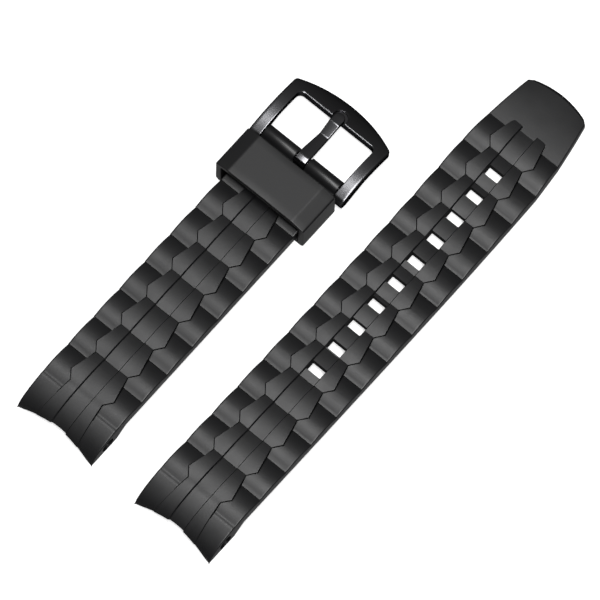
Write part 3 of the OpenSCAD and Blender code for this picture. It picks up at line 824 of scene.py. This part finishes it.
def frame_top(u, v):
    """The top with the notch for the tongue's tip: a flat floor inside a circle that is
    open to the window, and a rounded lip just outside it."""
    out = np.where(u > notch_u, np.hypot(u - notch_u, v), np.abs(v)) - notch_r
    inward = np.clip(notch_lip - out, 0, notch_lip)
    lip = notch_lip - np.sqrt(notch_lip ** 2 - inward ** 2)
    floor_w = arch_top(notch_u) - notch_depth
    return np.where(u < window_near, arm_top_at(u),
                    np.where(out < notch_slack, floor_w, arm_top_at(u) - lip))


def frame_stations():
    """Stations along one arm, round the window's corner and along half the front bar, then
    mirrored. Returns where the arm's stations lie, and for each station its place on the
    window and its place on the outline."""
    eye = eye_u - eye_r * np.cos(np.radians(np.linspace(6, 90, 15)))
    arm = np.concatenate([eye, np.linspace(eye_u, window_u - window_corner, 24)[1:]])
    pull = np.clip((eye[0] + eye_end_run - arm) / eye_end_run, 0, 1)
    pull = eye_end_r * (1 - np.sqrt(1 - pull ** 2 * 0.999))
    corner = np.array([window_u - window_corner, frame_in - window_corner])
    hub = frame_reach - front_r
    rise = frame_out - frame_corner
    edge = math.asin(rise / (front_r - frame_corner))
    corner_u = hub + (front_r - frame_corner) * math.cos(edge)
    sweep = np.linspace(edge, math.asin(corner[1] / front_r), 9)[1:]
    outline = np.concatenate([
        [[corner[0] - 1, frame_out]],
        around(np.linspace(math.pi / 2, edge, 9), frame_corner, (corner_u, rise)),
        around(sweep, front_r, (hub, 0)),
        [[frame_reach - 1.5, -1.0]]]) - corner

    # Angles about the window's corner, closest where the outline has its own corner, and
    # stations along the front bar, closest beside the notch
    turn = np.radians(np.concatenate([np.arange(87, 59, -3), np.arange(59, 44, -1.25),
                                      np.arange(43, 0, -3), [0]]))
    notch = notch_r * np.cos(np.radians(np.linspace(0, 90, 15)))
    front = np.concatenate([np.linspace(corner[1], notch_r + 0.13, 20)[1:-1],
                            notch_r + front_lines, notch])
    window = np.concatenate([
        np.stack([arm, frame_in + pull], axis=1),
        around(turn, window_corner, corner),
        np.stack([window_u + 0 * front, front], axis=1)])
    outer = np.concatenate([
        np.stack([arm, frame_out - pull], axis=1),
        around(turn, reach_at(turn, outline)[:, None], corner),
        np.stack([hub + np.sqrt(front_r ** 2 - front ** 2), front], axis=1)])
    flip = np.array([1, -1])
    return (arm, np.concatenate([window, window[-2::-1] * flip]),
            np.concatenate([outer, outer[-2::-1] * flip]))


def frame_mesh():
    """A loop of points at each station: over the top, down the outline, back underneath and
    up the window's wall. All three kinds of edge have radii, smaller where the eye is thin,
    and the front bar's top has a bevel along the window."""
    arm, window, outer = frame_stations()
    width = np.linalg.norm(outer - window, axis=1)[:, None]
    aim = (outer - window) / width
    v = np.abs(window[:, 1:])
    bevel = bevel_d * np.clip((window[:, :1] - window_u + bevel_fade) / bevel_fade, 0, 1)
    thick = arm_top_at(outer[:, :1]) - frame_under(outer[:, :1])
    small = np.clip(thick / full_thick, 0.05, 1)
    round_in = window_edge_r * small
    round_out = outer_edge_r * small
    round_low = under_edge_r * small
    step = notch_u - window_u + np.sqrt(np.clip(notch_r ** 2 - v ** 2, 0, None))
    coarse = np.radians([0, 30, 60, 90])[None, :]
    fine = np.radians([0, 18, 36, 54, 72, 90])[None, :]

    # Distances from the window's wall across the top, with how far each lies under it
    past = step + notch_lines
    rest = width - round_out
    over = past[:, -1:] + (rest - past[:, -1:]) * np.array([[0.25, 0.5, 0.75]])
    before = 0 * width + bevel_lines
    between = np.concatenate([before, past, over], axis=1)
    top_at = np.concatenate([round_in * (1 - np.cos(coarse)), between,
                             rest + round_out * np.sin(fine)], axis=1)
    lowered = np.concatenate([round_in * (1 - np.sin(coarse)), 0 * between,
                              round_out * (1 - np.cos(fine))], axis=1)
    place = window[:, None] + aim[:, None] * top_at[..., None]
    plain = frame_top(place[..., 0], place[..., 1])
    slope = bevel * np.clip(1 - top_at / bevel_w, 0, 1)
    in_notch = np.abs(place[..., 1]) < notch_r + notch_slack
    in_notch &= top_at <= step + slack
    in_notch &= window[:, :1] > window_near
    top = np.where(in_notch, plain, plain - lowered - slope)

    # Then down the outline, back underneath and up the window's wall
    low_at = np.concatenate([width - round_low * (1 - np.cos(coarse)), width * 0.6,
                             width * 0.3, round_low * (1 - np.sin(coarse))], axis=1)
    low_place = window[:, None] + aim[:, None] * low_at[..., None]
    lifted = np.concatenate([round_low * (1 - np.sin(coarse)), 0 * width, 0 * width,
                             round_low * (1 - np.cos(coarse))], axis=1)
    low = frame_under(low_place[..., 0]) + lifted
    share = np.arange(1, wall_rows)[None, :] / wall_rows
    outside = top[:, -1:] + (low[:, :1] - top[:, -1:]) * share
    inside = low[:, -1:] + (top[:, :1] - low[:, -1:]) * share
    flat = np.concatenate([place, np.repeat(outer[:, None], wall_rows - 1, axis=1),
                           low_place, np.repeat(window[:, None], wall_rows - 1, axis=1)],
                          axis=1)
    high = np.concatenate([top, outside, low, inside], axis=1)
    count, size = high.shape
    number = np.arange(count * size).reshape(count, size)
    keep = np.ones((count - 1, size), bool)
    points = [np.concatenate([flat, high[..., None]], axis=2).reshape(-1, 3)]
    faces = []
    caps = [number[0], number[-1]]

    # The blind hole for a pin in each arm's wall: a rim of the wall's own points, drawn in
    # to a circle that goes into the arm
    i1 = int(np.searchsorted(arm, -pin_patch))
    i2 = int(np.searchsorted(arm, pin_patch))
    wall = np.append(np.arange(size - wall_rows, size), 0)
    used = count * size
    for rows, side in ((np.arange(i1, i2 + 1), 1), (count - 1 - np.arange(i1, i2 + 1), -1)):
        keep[min(rows):max(rows), size - wall_rows:] = False
        edge = rim(number[np.ix_(rows, wall)])
        seen = points[0][edge]
        circle = around(np.arctan2(seen[:, 2], seen[:, 0]), pin_hole_r)
        for depth in (0, pin_hole):
            points.append(stood_at(circle, side * (frame_in + depth)))
            bored = used + np.arange(len(edge))
            used += len(edge)
            faces.append(closed_rings(np.stack([edge, bored])))
            edge = bored
        caps.append(edge)
    faces.append(closed_rings(number)[keep.ravel()])
    return np.concatenate(points), np.concatenate(faces), caps


def on_bar(points):
    """Turns a shape, seen from the spring bar, down to rest on the ground."""
    ahead = points[:, 0] * math.cos(droop) + points[:, 2] * math.sin(droop)
    high = points[:, 2] * math.cos(droop) - points[:, 0] * math.sin(droop)
    return laid(np.stack([ahead + bar_x, points[:, 1], high + bar_z], axis=1), buckle_tilt)


frame_points, frame_faces, frame_caps = frame_mesh()
finished_piece("buckle", on_bar(frame_points), frame_faces, black_steel, "buckle",
               "buckle_frame", caps=frame_caps, crease=40)

# Tongue: a strip of the same black-coated steel, rolled round the spring bar at its back,
# bent down and up again, and ground round at the tip, which lies in the frame's notch.
loop_r = 1.75
loop_in_r = 0.8
roll_from = -20
roll_to = -212
loop_back = (-1.0, 1.5)
crown = (0.25, 1.8)
dip = (6.7, 1.416)
rise_end = (window_u - 1.2, 2.816)
bend_lens = (0.15, 0.25, 0.2, 0.2)
strip_t = 0.95
strip_edge = 0.22
loop_half = 1.4
loop_fade = 3
dip_half = 1.15
tip_u = window_u + 0.2
tip_round = 1.3
tip_last = 88


def tongue_mesh():
    """A rounded section carried along the line of the strip's top: an arc round the bar,
    then straights joined by short bends, each a curve between two points with the corner as
    its handle. Past the middle of the round tip the half width follows a circle."""
    roll = np.radians(np.linspace(roll_from, roll_to, 45))
    line = [around(roll, loop_r)]
    stops = np.array([tuple(line[0][-1]), loop_back, crown, dip, rise_end,
                      (tip_u, rise_end[1])])
    heading = np.diff(stops, axis=0)
    heading /= np.linalg.norm(heading, axis=1)[:, None]
    start = stops[0]
    for k, bend_len in enumerate(bend_lens, start=1):
        into = stops[k] - heading[k - 1] * bend_len
        out = stops[k] + heading[k] * bend_len
        line.append(start + (into - start) * np.linspace(0, 1, 12)[1:-1, None])
        line.append(bend(into, stops[k], out, 9))
        start = out
    line.append(start + (stops[-1] - start) * np.linspace(0, 1, 4)[1:-1, None])
    tip = np.radians(np.linspace(0, tip_last, 14))
    line.append(np.stack([tip_u + tip_round * np.sin(tip), rise_end[1] + 0 * tip], axis=1))
    line = np.concatenate(line)
    along = np.gradient(line, axis=0)
    along /= np.linalg.norm(along, axis=1)[:, None]
    upward = np.stack([-along[:, 1], along[:, 0]], axis=1)

    # Half width, thickness and edge radius along the strip, then the rounded section
    u = np.where(np.arange(len(line)) < len(roll), 0, line[:, 0])
    half = np.interp(u, [0, loop_r, dip[0], rise_end[0]],
                     [loop_half, loop_half, dip_half, tip_round])
    beyond = np.clip((u - tip_u) / tip_round, 0, 1)
    half = np.where(u > tip_u, tip_round * np.sqrt(1 - beyond ** 2), half)
    thick = np.interp(u, [0, loop_fade], [loop_r - loop_in_r, strip_t])
    edge = np.minimum(strip_edge, 0.8 * half)
    turn = np.radians(np.linspace(0, 90, 6))
    across = []
    deep = []
    for side, middle, spin in ((1, edge, turn[::-1]), (1, thick - edge, -turn),
                               (-1, thick - edge, -turn[::-1]), (-1, edge, turn)):
        across.append(side * ((half - edge)[:, None] + edge[:, None] * np.cos(spin)))
        deep.append(middle[:, None] - edge[:, None] * np.sin(spin))
    across = np.concatenate(across, axis=1)
    deep = np.concatenate(deep, axis=1)
    flat = line[:, None] - upward[:, None] * deep[..., None]
    points = np.stack([flat[..., 0], across, flat[..., 1]], axis=2)
    number = np.arange(across.size).reshape(across.shape)
    return points.reshape(-1, 3), closed_rings(number), [number[0], number[-1]]


tongue_points, tongue_faces, tongue_caps = tongue_mesh()
finished_piece("tongue", on_bar(tongue_points), tongue_faces, black_steel, "tongue",
               "buckle_tongue", caps=tongue_caps, crease=40)

# Spring bar: a drawn stainless tube with its ends rolled in, two turned pins and a coil
# of spring wire, all inside the barrel. The tube and pins are the CAD part's own solids,
# and the coil is wound again in two halves, from its middle out to each end.

# Both are bright bare metal. The lines that drawing leaves are too fine to show, so their
# polish varies over 0.8 and 0.5 mm instead.
drawn_steel = patterned_material(
    "drawn stainless steel",
    {"Base Color": linear("#BDBDC0"), "Metallic": 1.0, "Roughness": 0.3},
    blotch=0.8, change=0.05)
spring_wire = patterned_material(
    "drawn spring wire",
    {"Base Color": linear("#C6C7CA"), "Metallic": 1.0, "Roughness": 0.25},
    blotch=0.5, change=0.05)
for node in ("spring_bar_tube", "spring_bar_pin_left", "spring_bar_pin_right"):
    for material_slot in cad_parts[node].material_slots:
        material_slot.material = drawn_steel
coil_low, coil_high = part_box("spring_bar_coil")
coil_half = coil_high[1] / MM
wire_r = 0.1
coil_r = (coil_high[2] - coil_low[2]) / MM / 2 - wire_r
half_turns = 8


def coil_half_mesh(side):
    """A round wire carried along a helix about the bar, from its middle to one end. The
    angle grows evenly with y, and the wire's circle stands across the helix."""
    turn = np.linspace(0, 2 * np.pi * half_turns, 20 * half_turns + 1)
    y = side * (wire_r + (coil_half - 2 * wire_r) * turn / turn[-1])
    spin = np.linspace(0, 2 * np.pi, 9)[:-1]
    reach = coil_r + wire_r * np.cos(spin)[None, :]
    points = np.stack([reach * np.cos(turn)[:, None],
                       y[:, None] + wire_r * np.sin(spin)[None, :],
                       reach * np.sin(turn)[:, None]], axis=2)
    number = np.arange(len(turn) * len(spin)).reshape(len(turn), len(spin))
    return points.reshape(-1, 3), closed_rings(number), [number[0], number[-1]]


for name, side, joint in (("coil_left", 1, "pin_left_press"),
                          ("coil_right", -1, "pin_right_press")):
    coil_points, coil_faces, coil_caps = coil_half_mesh(side)
    coil = finished_piece(name, on_bar(coil_points), coil_faces, spring_wire, "root",
                          "spring_bar_coil", caps=coil_caps)
    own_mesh(coil)

# The floor is a plain pale sheet under the strap, and a wide soft box lights it from above.
ground_z = -2.06 * MM
floor_half = 3.0
sheet = bpy.data.meshes.new("floor")
corners = ((-1, -1), (1, -1), (1, 1), (-1, 1))
sheet.from_pydata([(x * floor_half, y * floor_half, ground_z) for x, y in corners],
                  [], [(0, 1, 2, 3)])
floor = bpy.data.objects.new("floor", sheet)
bpy.context.scene.collection.objects.link(floor)
floor.visible_glossy = False
paper = bpy.data.materials.new("white backing paper")
paper.use_nodes = True
paper.node_tree.nodes.clear()
paper_shader = add_node(paper, "ShaderNodeBsdfPrincipled",
                        {"Base Color": linear("#E8E8E8"), "Roughness": 0.9,
                         "Emission Color": linear("#FFFFFF"), "Emission Strength": 0.55})
add_node(paper, "ShaderNodeOutputMaterial", {}, {"Surface": (paper_shader, "BSDF")})
sheet.materials.append(paper)

box_light = bpy.data.lights.new("soft box", "AREA")
box_light.shape = "RECTANGLE"
box_light.size = 0.36
box_light.size_y = 1.2
box_light.energy = 26
box_distance = 1.5
toward = Vector((-0.11, -0.13, 1.0)).normalized()
box = bpy.data.objects.new("soft box", box_light)
box.location = camera_target + toward * box_distance
box.rotation_euler = toward.to_track_quat("Z", "Y").to_euler()
box.visible_camera = False
bpy.context.scene.collection.objects.link(box)

# Round about is a pale table below, a dark room at eye level and a lit ceiling above.
world = bpy.data.worlds.new("dark room with a pale table and a lit ceiling")
world.use_nodes = True
world.node_tree.nodes.clear()
aim = add_node(world, "ShaderNodeTexCoord")
parts = add_node(world, "ShaderNodeSeparateXYZ", {}, {"Vector": (aim, "Generated")})
table = add_node(world, "ShaderNodeMapRange",
                 {"From Min": -0.7, "From Max": -0.15, "To Min": 0.3, "To Max": 0.04},
                 {"Value": (parts, "Z")})
ceiling = add_node(world, "ShaderNodeMapRange",
                   {"From Min": 0.4, "From Max": 0.9, "To Min": 0.0, "To Max": 0.16},
                   {"Value": (parts, "Z")})
glow = add_node(world, "ShaderNodeMath", {"operation": "ADD"},
                {0: (table, "Result"), 1: (ceiling, "Result")})
sky = add_node(world, "ShaderNodeBackground", {"Color": linear("#FFFFFF")},
               {"Strength": (glow, "Value")})
add_node(world, "ShaderNodeOutputWorld", {}, {"Surface": (sky, "Background")})
bpy.context.scene.world = world
